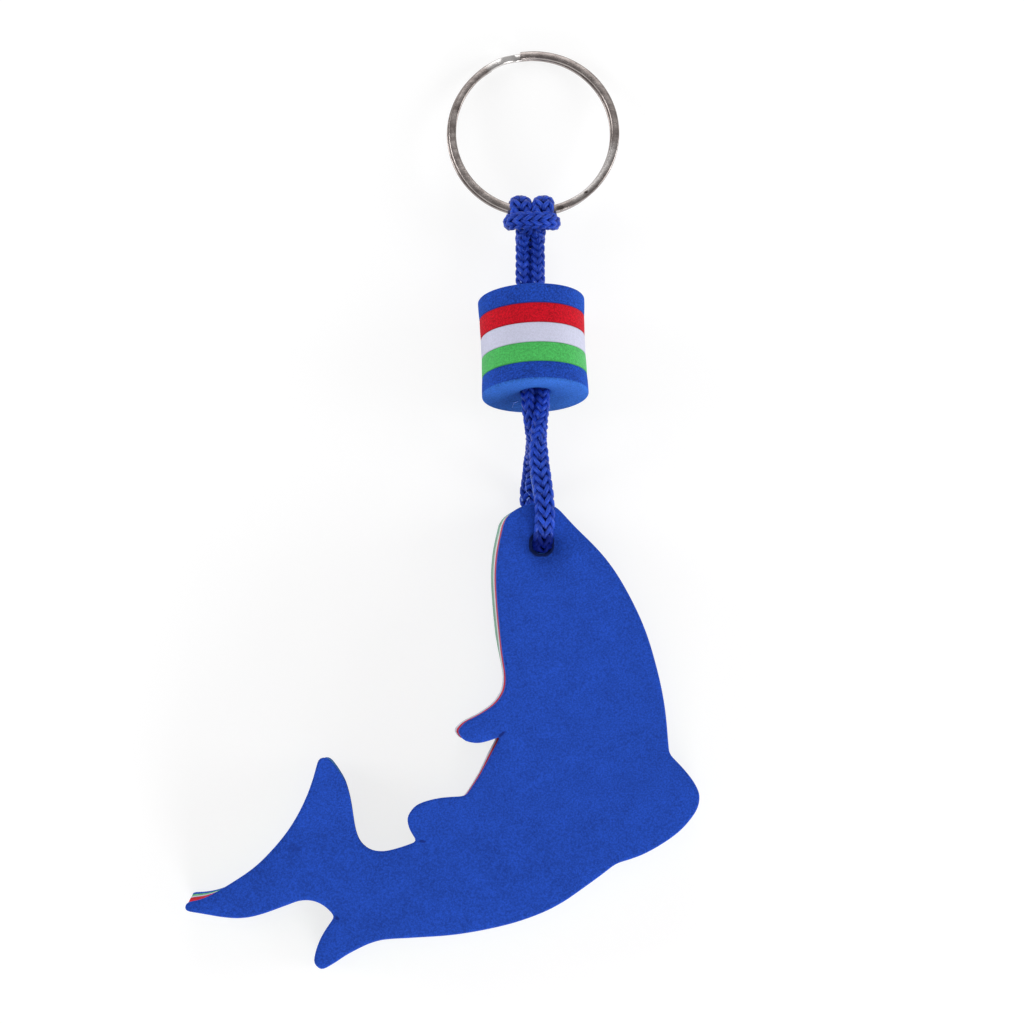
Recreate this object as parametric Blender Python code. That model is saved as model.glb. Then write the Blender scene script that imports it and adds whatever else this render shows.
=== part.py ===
# Floating keychain: a fish of five glued foam sheets on a knitted cord loop, with a small
# foam float threaded on the cord and a two-turn split ring in its hitch.
# It lies on its back face. +Y runs towards the ring, +Z up, and the origin is under the
# middle of the whole part.
import math

import bmesh
import bpy
from mathutils import Matrix, Vector

MM = 0.001

# Foam sheets, the same for the fish and the float
SHEET_THICKNESS = 3.5 * MM
GLUE_GAP = 0.06 * MM
SHEET_NAMES = ["back_blue", "green", "white", "red", "front_blue"]
SHEET_COLOURS = {
    "back_blue": (0.018, 0.064, 0.41),
    "green": (0.072, 0.46, 0.1),
    "white": (0.62, 0.62, 0.74),
    "red": (0.57, 0.011, 0.027),
    "front_blue": (0.018, 0.064, 0.41),
}

# Fish, measured from the cord hole's middle, seen from above
FISH_WIDTH = 88.7 * MM
FISH_LENGTH = 80.2 * MM
HEAD_LENGTH = 7.1 * MM
HOLE_DIAMETER = 4.4 * MM
HOLE_SIDES = 16
OUTLINE_STEP = 2.2 * MM
CUT_TAPER = 0.4 * MM
HEAD_PITCH_LIFT = 1.8 * MM
HEAD_ROLL = 0.0018 / MM
ROLL_LINE_X = 28.0 * MM
BEND_LENGTH = 52.0 * MM
BEND_EASE = 0.12
LEAN_FADE = 4.0 * MM
BEND_LINES_Y = [-42 * MM, -30 * MM, -19 * MM, -9 * MM, 1 * MM]
BEND_LINES_X = [-4 * MM, 6 * MM, 16 * MM]

# Float
FLOAT_DIAMETER = 18.6 * MM
FLOAT_SIDES = 32
FLOAT_PITCH = math.radians(17.0)
FLOAT_YAW = math.radians(2.6)
FLOAT_TO_HOLE = 34.0 * MM
FLOAT_OFFSET_X = -1.39 * MM

# Cord
CORD_DIAMETER = 2.0 * MM
STRAND_SPACING = 2.44 * MM
BORE_CLEARANCE = 0.38 * MM
CORD_JOINT_GAP = 0.3 * MM
CORD_MAX_STEP = 4.6 * MM
CORD_MAX_TURN = math.radians(25.0)

# Split ring
RING_DIAMETER = 29.8 * MM
WIRE_WIDTH = 1.3 * MM
WIRE_THICKNESS = 0.95 * MM
WIRE_CHAMFER = 0.16 * MM
COIL_GAP = 0.1 * MM
COIL_OFFSET = 0.17 * MM
RING_PITCH = math.radians(14.0)
HITCH_TO_HOLE = 57.77 * MM
HITCH_OFFSET_X = -1.64 * MM
PAIR_DRIFT = -0.28 * MM
RING_STEP = math.radians(7.5)
WIRE_START = math.radians(97.0)
JOGGLE_ANGLE = math.radians(17.0)
WIRE_END_GAP = math.radians(5.0)

# Shape of the fish's outline, clockwise from the top of the head, brought to the width and
# lengths above. A point marked True is a corner of the cutting die, the others lie on one
# smooth curve.
FISH_OUTLINE = [
    (-0.8, 7.1, False), (2.2, 6.6, False), (5.6, 3.2, False), (10.6, -1.9, False),
    (14.2, -7.1, False), (17.6, -14.0, False), (19.8, -20.9, False), (21.3, -28.0, False),
    (22.1, -36.3, True), (24.7, -39.0, False), (26.7, -41.7, False), (27.4, -44.2, False),
    (26.2, -47.0, False), (23.1, -50.3, False), (17.9, -53.5, False), (12.9, -55.3, True),
    (7.9, -59.0, False), (2.7, -62.5, False), (-2.9, -64.9, False), (-8.9, -66.5, False),
    (-15.5, -67.6, False), (-22.7, -68.1, False), (-28.3, -68.6, False), (-33.1, -70.7, False),
    (-37.0, -73.1, False), (-38.6, -73.1, False), (-39.1, -71.3, False), (-37.9, -67.6, False),
    (-35.7, -64.4, True), (-37.8, -62.4, False), (-40.7, -61.5, False), (-43.9, -62.4, False),
    (-48.4, -64.0, False), (-52.2, -64.7, False), (-57.0, -64.2, False), (-61.3, -63.0, True),
    (-61.3, -60.9, True), (-58.2, -60.5, False), (-54.3, -58.9, False), (-49.2, -55.5, False),
    (-44.4, -50.3, False), (-41.3, -45.2, False), (-39.2, -40.0, False), (-38.1, -37.2, False),
    (-37.1, -37.0, False), (-35.6, -38.4, False), (-33.8, -41.2, False), (-32.8, -45.2, False),
    (-32.1, -49.5, False), (-30.9, -52.0, False), (-28.5, -53.1, False), (-25.3, -52.7, False),
    (-21.5, -51.4, True), (-22.9, -49.1, False), (-23.2, -46.9, False), (-21.4, -45.0, False),
    (-17.6, -43.9, False), (-13.1, -43.6, True), (-10.6, -40.0, False), (-8.7, -36.6, False),
    (-6.9, -33.2, True), (-10.6, -34.4, False), (-13.6, -33.9, False), (-14.4, -32.4, False),
    (-13.4, -31.0, False), (-10.8, -29.6, False), (-8.2, -27.9, False), (-6.7, -26.1, False),
    (-6.0, -23.7, False), (-6.7, -18.3, False), (-7.4, -11.4, False), (-7.7, -5.4, False),
    (-7.2, -0.2, False), (-6.0, 3.6, False), (-3.8, 6.2, False),
]

# Cord route in millimetres. The hitch half is measured from the wire's middle, from the
# float to the middle of the bar that lies over both strands, and its mirror image follows.
# PAIR_DRIFT takes both strands sideways between the float and the knot.
HITCH_HALF = [
    (-1.22, -11.5, -0.2), (-1.22, -8.2, -1.05), (-1.22, -5.4, -1.15), (-1.22, -3.6, -0.35),
    (-1.35, -2.45, 0.9), (-1.6, -1.3, 2.15), (-1.85, 0.2, 2.5), (-2.05, 1.8, 1.72),
    (-2.15, 2.45, 0.1), (-2.45, 1.8, -1.72), (-2.9, 0.1, -2.48), (-3.35, -1.7, -1.95),
    (-3.8, -2.72, -0.5), (-3.95, -2.78, 1.3), (-3.5, -2.18, 3.0), (-2.2, -1.65, 4.15),
    (0.0, -1.5, 4.5),
]
# Over the fish and down into its hole: from the hole's middle, heights from the floor
FRONT_STRAND = [
    (-0.1, 22.5, 15.2), (-0.45, 19.0, 16.95), (-0.5, 15.5, 19.15), (-0.15, 12.0, 21.25),
    (0.3, 9.0, 22.65), (0.5, 6.5, 23.15), (0.55, 4.2, 23.1), (0.45, 2.4, 22.7),
    (0.3, 1.0, 21.85), (0.15, 0.1, 20.5), (0.0, 0.0, 18.75), (0.0, 0.0, 13.0), (0.0, 0.0, 8.0),
]
# Out of the hole under the fish, along the floor and up into the float
BACK_STRAND = [
    (0.0, 0.0, 4.6), (-0.03, 0.2, 3.2), (-0.15, 0.9, 2.0), (-0.5, 2.1, 1.3), (-1.0, 3.8, 1.1),
    (-1.6, 5.7, 1.1), (-2.0, 7.6, 1.15), (-1.95, 9.4, 1.55), (-1.65, 11.4, 3.1),
    (-1.45, 13.6, 5.75), (-1.3, 16.0, 8.9), (-1.35, 18.4, 11.8), (-1.65, 20.8, 13.85),
    (-2.05, 23.2, 14.6),
]

FISH_THICKNESS = 5 * SHEET_THICKNESS + 4 * GLUE_GAP
FLOAT_LENGTH = FISH_THICKNESS
BORE_DIAMETER = STRAND_SPACING + CORD_DIAMETER + 2 * BORE_CLEARANCE


def clear_scene():
    for item in list(bpy.data.objects):
        bpy.data.objects.remove(item)


def make_material(name, colour, roughness, metallic=0.0):
    material = bpy.data.materials.new(name)
    material.use_nodes = True
    shader = material.node_tree.nodes["Principled BSDF"]
    shader.inputs["Base Color"].default_value = (*colour, 1.0)
    shader.inputs["Roughness"].default_value = roughness
    shader.inputs["Metallic"].default_value = metallic
    return material


def add_object(name, data, material):
    item = bpy.data.objects.new(name, data)
    item.data.materials.append(material)
    bpy.context.collection.objects.link(item)
    return item


def catmull_rom(before, start, end, after, share):
    """Point at a share of the way from start to end on the curve through all four."""
    square = share * share
    cube = square * share
    return 0.5 * (
        2 * start
        + (end - before) * share
        + (2 * before - 5 * start + 4 * end - after) * square
        + (3 * start - before - 3 * end + after) * cube
    )


def smooth_curve(points, steps):
    """Dense points on an open smooth curve through the given ones."""
    padded = [2 * points[0] - points[1], *points, 2 * points[-1] - points[-2]]
    curve = []
    for index in range(1, len(padded) - 2):
        for step in range(steps):
            curve.append(catmull_rom(*padded[index - 1:index + 3], step / steps))
    curve.append(points[-1])
    return curve


# Fish sheets

def fish_corners():
    """The drawn outline at its real size, with the mark of each corner."""
    across = [point[0] for point in FISH_OUTLINE]
    along = [point[1] for point in FISH_OUTLINE]
    wide = FISH_WIDTH / (max(across) - min(across))
    above = HEAD_LENGTH / max(along)
    below = (FISH_LENGTH - HEAD_LENGTH) / -min(along)
    return [(Vector((x * wide, y * (above if y > 0 else below))), corner)
            for x, y, corner in FISH_OUTLINE]


def fish_outline():
    """Points round the fish, evenly spaced along each smooth stretch between corners."""
    corners = fish_corners()
    start = next(index for index, point in enumerate(corners) if point[1])
    turned = corners[start:] + corners[:start + 1]
    outline = []
    stretch = [turned[0][0]]
    for point, corner in turned[1:]:
        stretch.append(point)
        if corner:
            outline += even_points(stretch)
            stretch = [point]
    return outline


def even_points(stretch):
    """Points a step apart along the curve through a stretch, without its last point."""
    curve = smooth_curve(stretch, 12) if len(stretch) > 2 else stretch
    length = sum((b - a).length for a, b in zip(curve, curve[1:]))
    count = max(1, round(length / OUTLINE_STEP))
    points = [curve[0]]
    walked = 0.0
    for a, b in zip(curve, curve[1:]):
        walked += (b - a).length
        if walked >= len(points) * length / count and len(points) < count:
            points.append(b)
    return points


def bend_share(y):
    """0 on the flat of the fish, rising smoothly to about 0.9 at the cord hole."""
    share = max(0.0, (y + BEND_LENGTH) / BEND_LENGTH)
    return share, share * share / (share + BEND_EASE)


def head_lift(x, y):
    """How far the cord under the head lifts the fish off the floor."""
    share, eased = bend_share(y)
    return HEAD_PITCH_LIFT * share * share + HEAD_ROLL * eased * (ROLL_LINE_X - x) ** 2


def wall_lean(x, y):
    """Sideways lean of the cut walls where the head is rolled, none round the hole."""
    eased = bend_share(y)[1]
    away = (math.hypot(x, y) - HOLE_DIAMETER / 2) / LEAN_FADE
    fade = min(1.0, max(0.0, away))
    return -2 * HEAD_ROLL * eased * (ROLL_LINE_X - x) * fade


def fish_sheet_plan():
    """Flat triangulated plan of the fish, cut by lines so that it can bend."""
    plan = bmesh.new()
    outline = fish_outline()
    hole = []
    for side in range(HOLE_SIDES):
        angle = 2 * math.pi * side / HOLE_SIDES
        hole.append(Vector((math.cos(angle), math.sin(angle))) * HOLE_DIAMETER / 2)
    edges = []
    for loop in (outline, hole):
        corners = [plan.verts.new((point.x, point.y, 0.0)) for point in loop]
        for a, b in zip(corners, corners[1:] + corners[:1]):
            edges.append(plan.edges.new((a, b)))
    bmesh.ops.triangle_fill(plan, edges=edges, use_beauty=True, normal=(0, 0, 1))
    cuts = [((0, y, 0), (0, 1, 0)) for y in BEND_LINES_Y]
    cuts += [((x, 0, 0), (1, 0, 0)) for x in BEND_LINES_X]
    for place, normal in cuts:
        everything = plan.verts[:] + plan.edges[:] + plan.faces[:]
        bmesh.ops.bisect_plane(plan, geom=everything, plane_co=place, plane_no=normal)
    bmesh.ops.triangulate(plan, faces=plan.faces[:])
    bmesh.ops.recalc_face_normals(plan, faces=plan.faces[:])
    if sum(face.normal.z for face in plan.faces) < 0:
        bmesh.ops.reverse_faces(plan, faces=plan.faces[:])
    return plan


def inward(corner):
    """Direction from an outline corner into the foam, none on the cord hole's edge."""
    x, y = corner.co.x, corner.co.y
    if not corner.is_boundary or math.hypot(x, y) < HOLE_DIAMETER / 2 + GLUE_GAP:
        return Vector((0.0, 0.0))
    direction = Vector((0.0, 0.0))
    for edge in corner.link_edges:
        if edge.is_boundary:
            face = edge.link_faces[0]
            along = (edge.verts[1].co - edge.verts[0].co).xy.normalized()
            across = Vector((-along.y, along.x))
            middle = (edge.verts[0].co + edge.verts[1].co).xy / 2
            if across.dot(face.calc_center_median().xy - middle) < 0:
                across = -across
            direction += across
    return direction.normalized()


def fish_sheet(plan, name, level, material, place):
    """One foam sheet of the fish: the plan at its own depth, bent with the others."""
    body = bmesh.new()
    bottom_height = level * (SHEET_THICKNESS + GLUE_GAP)
    sides = []
    for height in (bottom_height, bottom_height + SHEET_THICKNESS):
        depth = FISH_THICKNESS - height
        inset = CUT_TAPER * depth / FISH_THICKNESS
        corners = {}
        for corner in plan.verts:
            x, y = corner.co.xy + inward(corner) * inset
            lean = wall_lean(corner.co.x, corner.co.y) * depth
            lift = head_lift(corner.co.x, corner.co.y)
            corners[corner] = body.verts.new((x + lean, y, height + lift))
        sides.append(corners)
    below, above = sides
    for face in plan.faces:
        body.faces.new([above[corner] for corner in face.verts])
        body.faces.new([below[corner] for corner in reversed(face.verts)])
    for edge in plan.edges:
        if edge.is_boundary:
            loop = edge.link_loops[0]
            a, b = loop.vert, loop.link_loop_next.vert
            body.faces.new([above[b], above[a], below[a], below[b]])
    mesh = bpy.data.meshes.new(name)
    body.to_mesh(mesh)
    body.free()
    mesh.shade_smooth()
    mesh.set_sharp_from_angle(angle=math.radians(40))
    item = add_object(name, mesh, material)
    item.location = place
    return item


# Float

def float_disc(name, level, material, place):
    """One foam disc of the float, with the cord's bore through it."""
    low = level * (SHEET_THICKNESS + GLUE_GAP) - FLOAT_LENGTH / 2
    body = bmesh.new()
    profile = [
        (FLOAT_DIAMETER / 2, low), (FLOAT_DIAMETER / 2, low + SHEET_THICKNESS),
        (BORE_DIAMETER / 2, low + SHEET_THICKNESS), (BORE_DIAMETER / 2, low),
    ]
    corners = [body.verts.new((radius, 0.0, height)) for radius, height in profile]
    edges = [body.edges.new((a, b)) for a, b in zip(corners, corners[1:] + corners[:1])]
    bmesh.ops.spin(
        body, geom=corners + edges, cent=(0, 0, 0), axis=(0, 0, 1), angle=2 * math.pi,
        steps=FLOAT_SIDES, use_merge=True,
    )
    bmesh.ops.recalc_face_normals(body, faces=body.faces[:])
    mesh = bpy.data.meshes.new(name)
    body.to_mesh(mesh)
    body.free()
    mesh.shade_smooth()
    mesh.set_sharp_from_angle(angle=math.radians(40))
    item = add_object(name, mesh, material)
    item.matrix_world = place
    return item


def float_place(hole_place):
    """Frame of the float: its middle, with its bore along local Z towards the ring."""
    radius = FLOAT_DIAMETER / 2
    height = radius * math.cos(FLOAT_PITCH) + FLOAT_LENGTH / 2 * math.sin(FLOAT_PITCH)
    middle = Vector((hole_place.x + FLOAT_OFFSET_X, hole_place.y + FLOAT_TO_HOLE, height))
    level_turn = Matrix.Rotation(FLOAT_YAW, 4, "Z")
    tip_down = Matrix.Rotation(-math.pi / 2 - FLOAT_PITCH, 4, "X")
    return Matrix.Translation(middle) @ level_turn @ tip_down


# Split ring

def wire_height(turned):
    """Height of the wire's middle above the ring's middle plane, after an angle of wire."""
    top = (WIRE_THICKNESS + COIL_GAP) / 2
    share = (turned - (2 * math.pi - JOGGLE_ANGLE)) / JOGGLE_ANGLE
    share = min(1.0, max(0.0, share))
    return top * math.cos(math.pi * share)


def split_ring(name, material, hitch):
    """Flat wire wound twice, joggled from the upper coil down to the lower one."""
    radius = RING_DIAMETER / 2 - WIRE_WIDTH / 2
    half_width = WIRE_WIDTH / 2
    half_height = WIRE_THICKNESS / 2
    inner_width = half_width - WIRE_CHAMFER
    inner_height = half_height - WIRE_CHAMFER
    section = [
        (half_width, -inner_height), (half_width, inner_height),
        (inner_width, half_height), (-inner_width, half_height),
        (-half_width, inner_height), (-half_width, -inner_height),
        (-inner_width, -half_height), (inner_width, -half_height),
    ]
    top = wire_height(0.0)
    total = 4 * math.pi - JOGGLE_ANGLE - WIRE_END_GAP
    count = round(total / RING_STEP)
    body = bmesh.new()
    rings = []
    for step in range(count + 1):
        turned = total * step / count
        angle = WIRE_START - turned
        height = wire_height(turned)
        shift = COIL_OFFSET * height / top
        ring = []
        for out, up in section:
            reach = radius + out
            x = reach * math.cos(angle) + shift
            ring.append(body.verts.new((x, reach * math.sin(angle) + radius, height + up)))
        rings.append(ring)
    for near, far in zip(rings, rings[1:]):
        for index in range(len(section)):
            after = (index + 1) % len(section)
            body.faces.new([near[index], near[after], far[after], far[index]])
    body.faces.new(rings[0])
    body.faces.new(rings[-1])
    bmesh.ops.recalc_face_normals(body, faces=body.faces[:])
    mesh = bpy.data.meshes.new(name)
    body.to_mesh(mesh)
    body.free()
    mesh.shade_smooth()
    mesh.set_sharp_from_angle(angle=math.radians(30))
    item = add_object(name, mesh, material)
    item.location = hitch
    item.rotation_euler = (-RING_PITCH, 0.0, 0.0)
    return item


def hitch_place(hole_place):
    """Middle of the wire under the hitch, with the ring's far side down on the floor."""
    radius = RING_DIAMETER / 2
    thickness = 2 * WIRE_THICKNESS + COIL_GAP
    centre_height = radius * math.sin(RING_PITCH) + thickness / 2 * math.cos(RING_PITCH)
    height = centre_height + (radius - WIRE_WIDTH / 2) * math.sin(RING_PITCH)
    return Vector((hole_place.x + HITCH_OFFSET_X, hole_place.y + HITCH_TO_HOLE, height))


# Cord

def cord_route(hole_place, float_frame, hitch):
    """The cord from its hidden joint in the float round the ring and the fish and back."""
    def in_bore(side, along):
        return float_frame @ Vector((side * STRAND_SPACING / 2, 0.0, along))

    def at_hitch(x, y, z):
        drift = PAIR_DRIFT * min(1.0, max(0.0, -y / 2 - 1.0))
        return hitch + Vector((x, y, z)) * MM + Vector((drift, 0.0, 0.0))

    half = FLOAT_LENGTH / 2
    left = [at_hitch(x, y, z) for x, y, z in HITCH_HALF]
    right = [at_hitch(-x, y, z) for x, y, z in reversed(HITCH_HALF[:-1])]
    route = [in_bore(-1, CORD_JOINT_GAP / 2), in_bore(-1, half / 2), in_bore(-1, half)]
    route += left + right
    route += [in_bore(1, half), in_bore(1, 0.0), in_bore(1, -half)]
    route += [hole_place + Vector(point) * MM for point in FRONT_STRAND + BACK_STRAND]
    route += [in_bore(-1, -half), in_bore(-1, -half / 2), in_bore(-1, -CORD_JOINT_GAP / 2)]
    return route


def thin_out(curve):
    """Keep a curve's points where the cord has turned or run far enough since the last."""
    kept = [curve[0]]
    run = 0.0
    turn = 0.0
    for before, here, after in zip(curve, curve[1:], curve[2:]):
        run += (here - before).length
        turn += (here - before).angle(after - here)
        if run >= CORD_MAX_STEP or turn >= CORD_MAX_TURN:
            kept.append(here)
            run = 0.0
            turn = 0.0
    kept.append(curve[-1])
    return kept


def cord(name, material, route):
    points = thin_out(smooth_curve(route, 12))
    curve = bpy.data.curves.new(name, "CURVE")
    curve.dimensions = "3D"
    curve.bevel_depth = CORD_DIAMETER / 2
    curve.bevel_resolution = 2
    curve.use_fill_caps = True
    spline = curve.splines.new("POLY")
    spline.points.add(len(points) - 1)
    for knot, point in zip(spline.points, points):
        knot.co = (*point, 1.0)
    return add_object(name, curve, material)


# Putting it together

def world_box(items):
    bpy.context.view_layer.update()
    shapes = bpy.context.evaluated_depsgraph_get()
    lows = Vector((math.inf,) * 3)
    highs = -lows
    for item in items:
        shape = item.evaluated_get(shapes)
        mesh = shape.to_mesh()
        for corner in mesh.vertices:
            place = shape.matrix_world @ corner.co
            lows = Vector(map(min, lows, place))
            highs = Vector(map(max, highs, place))
        shape.to_mesh_clear()
    return lows, highs


def build():
    clear_scene()
    hole_place = Vector((0.0, 0.0, 0.0))
    float_frame = float_place(hole_place)
    hitch = hitch_place(hole_place)
    plan = fish_sheet_plan()
    items = []
    for level, sheet in enumerate(SHEET_NAMES):
        foam = make_material(f"foam_{sheet}", SHEET_COLOURS[sheet], 0.85)
        items.append(fish_sheet(plan, f"fish_{sheet}_sheet", level, foam, hole_place))
        items.append(float_disc(f"float_{sheet}_disc", level, foam, float_frame))
    plan.free()
    nickel = make_material("brushed_nickel", (0.42, 0.4, 0.38), 0.35, 1.0)
    items.append(split_ring("split_ring", nickel, hitch))
    yarn = make_material("blue_yarn", (0.02, 0.07, 0.45), 0.6)
    items.append(cord("cord_loop", yarn, cord_route(hole_place, float_frame, hitch)))
    lows, highs = world_box(items)
    middle = Vector(((lows.x + highs.x) / 2, (lows.y + highs.y) / 2, lows.z))
    for item in items:
        item.matrix_world = Matrix.Translation(-middle) @ item.matrix_world
    print("origin moved by", middle / MM, "size", (highs - lows) / MM)


build()
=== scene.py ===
# A floating keychain lying on a pale table, seen from straight above
import bpy
import bmesh
import math
from mathutils import Matrix, Vector, geometry, noise


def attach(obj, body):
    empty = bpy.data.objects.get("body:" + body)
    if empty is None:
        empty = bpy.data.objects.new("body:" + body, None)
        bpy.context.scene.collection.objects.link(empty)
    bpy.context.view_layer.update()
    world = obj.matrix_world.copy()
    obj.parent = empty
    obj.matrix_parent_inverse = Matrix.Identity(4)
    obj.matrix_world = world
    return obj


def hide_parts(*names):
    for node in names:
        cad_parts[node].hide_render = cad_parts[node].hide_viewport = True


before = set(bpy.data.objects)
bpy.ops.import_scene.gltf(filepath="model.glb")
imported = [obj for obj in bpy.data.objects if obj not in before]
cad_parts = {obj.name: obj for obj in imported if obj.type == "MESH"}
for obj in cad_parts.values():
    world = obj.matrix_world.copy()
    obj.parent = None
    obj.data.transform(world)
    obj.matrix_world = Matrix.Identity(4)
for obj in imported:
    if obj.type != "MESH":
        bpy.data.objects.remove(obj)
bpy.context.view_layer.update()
mm = 0.001
print("frame loaded,", len(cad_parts), "nodes")

# Where things are in the frame, in millimetres unless a name says otherwise
layout = {
    "hole": Vector((16.972, -6.473, 0.0)) * mm,
    "hitch": Vector((15.332, 51.297, 8.022)) * mm,
    "floatMiddle": Vector((15.582, 27.527, 11.487)) * mm,
    "floatYaw": math.radians(2.6),
    "floatPitch": math.radians(17.0),
    "ringPitch": math.radians(14.0),
}


# Node trees

class Wire:
    # one socket, which can be used in sums

    def __init__(self, tree, socket):
        self.tree = tree
        self.socket = socket

    def calc(self, operation, first, second):
        made = self.tree.nodes.new("ShaderNodeMath")
        made.operation = operation
        for socket, value in zip(made.inputs, (first, second)):
            if isinstance(value, Wire):
                self.tree.links.new(value.socket, socket)
            else:
                socket.default_value = value
        return Wire(self.tree, made.outputs[0])

    def __add__(self, other):
        return self.calc("ADD", self, other)

    def __radd__(self, other):
        return self.calc("ADD", other, self)

    def __sub__(self, other):
        return self.calc("SUBTRACT", self, other)

    def __rsub__(self, other):
        return self.calc("SUBTRACT", other, self)

    def __mul__(self, other):
        return self.calc("MULTIPLY", self, other)

    def __rmul__(self, other):
        return self.calc("MULTIPLY", other, self)

    def __truediv__(self, other):
        return self.calc("DIVIDE", self, other)

    def __rtruediv__(self, other):
        return self.calc("DIVIDE", other, self)


class Nodes:
    # puts nodes into one tree

    def __init__(self, tree):
        self.tree = tree

    def add(self, kind, settings=None, inputs=None):
        made = self.tree.nodes.new(kind)
        for name, value in (settings or {}).items():
            setattr(made, name, value)
        for name, value in (inputs or {}).items():
            if isinstance(value, Wire):
                self.tree.links.new(value.socket, made.inputs[name])
            else:
                made.inputs[name].default_value = value
        return Made(self.tree, made)

    def maths(self, operation, *values):
        return self.add("ShaderNodeMath", {"operation": operation}, dict(enumerate(values)))[0]

    def vectors(self, operation, *values):
        return self.add("ShaderNodeVectorMath", {"operation": operation}, dict(enumerate(values)))[0]

    def scaled(self, vector, factor):
        return self.add("ShaderNodeVectorMath", {"operation": "SCALE"}, {0: vector, "Scale": factor})[0]

    def attribute(self, name):
        return self.add("ShaderNodeAttribute", {"attribute_name": name})["Fac"]

    def place(self):
        return self.add("ShaderNodeTexCoord")["Object"]

    def split(self, vector):
        return self.add("ShaderNodeSeparateXYZ", None, {"Vector": vector})

    def join(self, x, y, z):
        return self.add("ShaderNodeCombineXYZ", None, {"X": x, "Y": y, "Z": z})["Vector"]

    def noise(self, vector, scale, detail, roughness=0.5):
        return self.add("ShaderNodeTexNoise", None, {
            "Vector": vector, "Scale": scale, "Detail": detail, "Roughness": roughness})["Fac"]

    def share(self, value, low, high, kind="LINEAR"):
        # 0 where the value is at low, 1 where it is at high
        return self.add("ShaderNodeMapRange", {"interpolation_type": kind}, {
            "Value": value, "From Min": low, "From Max": high})["Result"]

    def bump(self, strength, distance, height):
        return self.add("ShaderNodeBump", None, {
            "Strength": strength, "Distance": distance, "Height": height})["Normal"]

    def grey(self, shade):
        return self.add("ShaderNodeCombineColor", None, {
            "Red": shade, "Green": shade, "Blue": shade})["Color"]


class Made:
    # a node that was put in, whose outputs are read by name or number

    def __init__(self, tree, item):
        self.tree = tree
        self.item = item

    def __getitem__(self, name):
        return Wire(self.tree, self.item.outputs[name])


def newMaterial(name):
    material = bpy.data.materials.new(name)
    material.use_nodes = True
    shader = material.node_tree.nodes["Principled BSDF"]
    return material, Nodes(material.node_tree), shader


def mixColours(nodes, share, first, second):
    made = nodes.add("ShaderNodeMix", {"data_type": "RGBA"}, {0: share})
    for index, value in ((6, first), (7, second)):
        socket = made.item.inputs[index]
        if isinstance(value, Wire):
            nodes.tree.links.new(value.socket, socket)
        else:
            socket.default_value = (*value, 1.0)
    return Wire(nodes.tree, made.item.outputs[2])


def plug(nodes, shader, links):
    for name, wire in links.items():
        nodes.tree.links.new(wire.socket, shader.inputs[name])


def keep(shader, values):
    for name, value in values.items():
        shader.inputs[name].default_value = value


def addObject(name, data):
    made = bpy.data.objects.new(name, data)
    bpy.context.collection.objects.link(made)
    return made


def within(value, low, high):
    return min(1.0, max(0.0, (value - low) / (high - low)))


# Foam

foamLook = {
    "grain": 5200.0,          # how fine each pattern is, a metre
    "coarseGrain": 3300.0,
    "poreSpacing": 2900.0,
    "poreSize": 0.3,
    "mottle": 260.0,
    "roughness": 0.8,
    "specular": 0.12,
    "bump": 0.05 * mm,
    # colour of the painted shade round the hole's mouth
    "mouth": (0.001, 0.003, 0.035),
}

# base colour, dark pores, the paler colour (painted light on the float's end towards the fish, and the
# paler leaning walls beside the head), how strong the speckle is, and how much of the paler colour
# shows where the foam is seen at a slant
foamColours = {
    "blue": ((0.0122, 0.0595, 0.415), (0.004, 0.014, 0.15), (0.034, 0.142, 0.55), 0.33, 1.0),
    "red": ((0.605, 0.0035, 0.0155), (0.2, 0.003, 0.01), (0.62, 0.10, 0.14), 0.24, 0.5),
    "white": ((0.66, 0.668, 0.838), (0.48, 0.49, 0.64), (0.76, 0.80, 0.80), 0.05, 0.15),
    "green": ((0.072, 0.495, 0.106), (0.03, 0.24, 0.045), (0.27, 0.47, 0.36), 0.18, 0.9),
}


# overcuts of the die and small dark marks on the fish's face: place, direction, half length
# and half width in millimetres from the hole's middle, and strength
nicks = [
    ((-6.9, -32.9), (0.75, 0.66), 0.85, 0.28, 0.9),
    ((-20.6, -51.4), (1.0, -0.1), 0.65, 0.28, 0.8),
    ((-35.3, -64.7), (0.8, -0.6), 0.45, 0.35, 0.8),
    ((-6.1, -20.6), (0.15, -1.0), 0.45, 0.16, 0.75),
    ((-42.6, -52.6), (1.0, 0.0), 1.3, 1.0, 0.22),
]


def markMask(nodes, place, marks, origin):
    # soft-edged ovals at the marks
    total = 0.0
    for (x, y), (alongX, alongY), halfLength, halfWidth, strength in marks:
        middle = (origin.x + x * mm, origin.y + y * mm, 0.0)
        apart = nodes.split(nodes.vectors("SUBTRACT", place, middle))
        along = (apart["X"] * alongX + apart["Y"] * alongY) / (halfLength * mm)
        across = (apart["Y"] * alongX - apart["X"] * alongY) / (halfWidth * mm)
        total = nodes.share(along * along + across * across, 1.4, 0.2, "SMOOTHSTEP") * strength + total
    return total


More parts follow.
